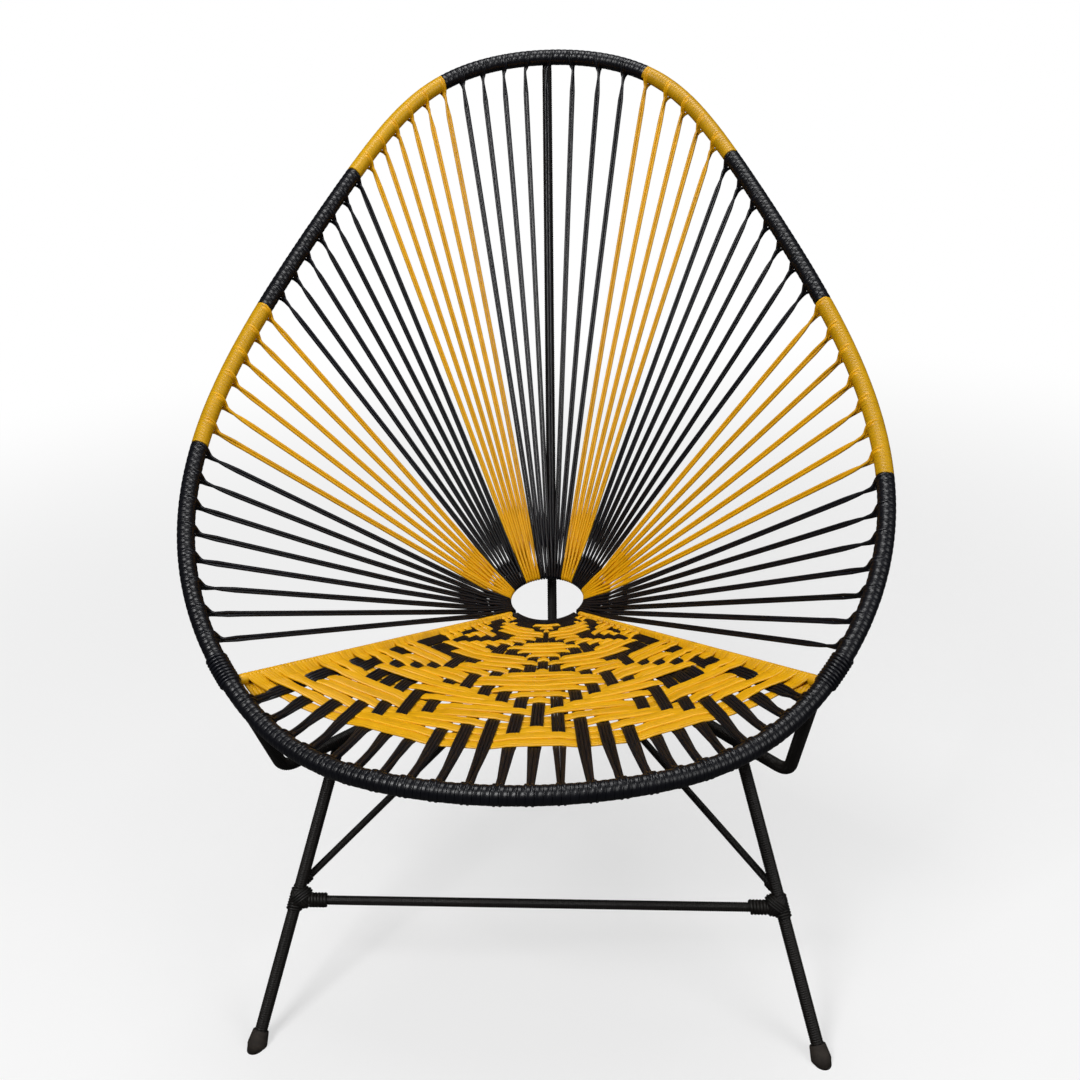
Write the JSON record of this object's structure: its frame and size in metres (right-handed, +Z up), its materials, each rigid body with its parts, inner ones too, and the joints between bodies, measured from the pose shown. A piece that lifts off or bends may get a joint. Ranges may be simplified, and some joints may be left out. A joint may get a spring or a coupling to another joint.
{
  "type": "string lounge chair",
  "caption": "Egg-shaped lounge chair: cords strung from a wrapped steel rim to a ring round a small hole, a woven seat, and a base of bent rods on three legs.",
  "frame": {"origin": "on the floor, under the middle of the bounding box", "axes": "+Z up, the sitter faces -Y, +X to the right of a viewer who looks at the front"},
  "size_m": [0.7297, 0.806, 0.9151],
  "materials": {
    "black_cord": "semi-gloss PVC cord",
    "yellow_cord": "semi-gloss PVC cord",
    "black_steel": "satin black-brown paint",
    "foot_rubber": "matt"
  },
  "bodies": {
    "root": {"rim_rod": "black_steel", "rim_wrap_right_1": "black_cord", "rim_wrap_right_2": "yellow_cord", "rim_wrap_right_3": "black_cord", "rim_wrap_right_4": "yellow_cord", "rim_wrap_top": "black_cord", "rim_wrap_left_4": "yellow_cord", "rim_wrap_left_3": "black_cord", "rim_wrap_left_2": "yellow_cord", "rim_wrap_left_1": "black_cord", "rim_wrap_front": "black_cord", "hole_ring": "black_steel", "back_cord_right_1": "black_cord", "back_cord_right_2": "yellow_cord", "back_cord_right_3": "black_cord", "back_cord_right_4": "yellow_cord", "back_cord_top": "black_cord", "back_cord_left_4": "yellow_cord", "back_cord_left_3": "black_cord", "back_cord_left_2": "yellow_cord", "back_cord_left_1": "black_cord", "seat_warps": "black_cord", "seat_weft_upper": "yellow_cord", "seat_weft_lower": "yellow_cord", "edge_cord_left": "black_cord", "edge_cord_right": "black_cord", "edge_wrap_left": "yellow_cord", "edge_wrap_right": "yellow_cord", "rim_lashing_left": "black_cord", "rim_lashing_right": "black_cord", "spine_rod": "black_steel", "rear_leg": "black_steel", "seat_arm_left": "black_steel", "seat_arm_right": "black_steel", "front_leg_left": "black_steel", "front_leg_right": "black_steel", "brace_left": "black_steel", "brace_right": "black_steel", "crossbar": "black_steel", "crossbar_lashing_left": "black_cord", "crossbar_lashing_right": "black_cord", "foot_rear": "foot_rubber", "foot_front_left": "foot_rubber", "foot_front_right": "foot_rubber"}
  },
  "joints": []
}
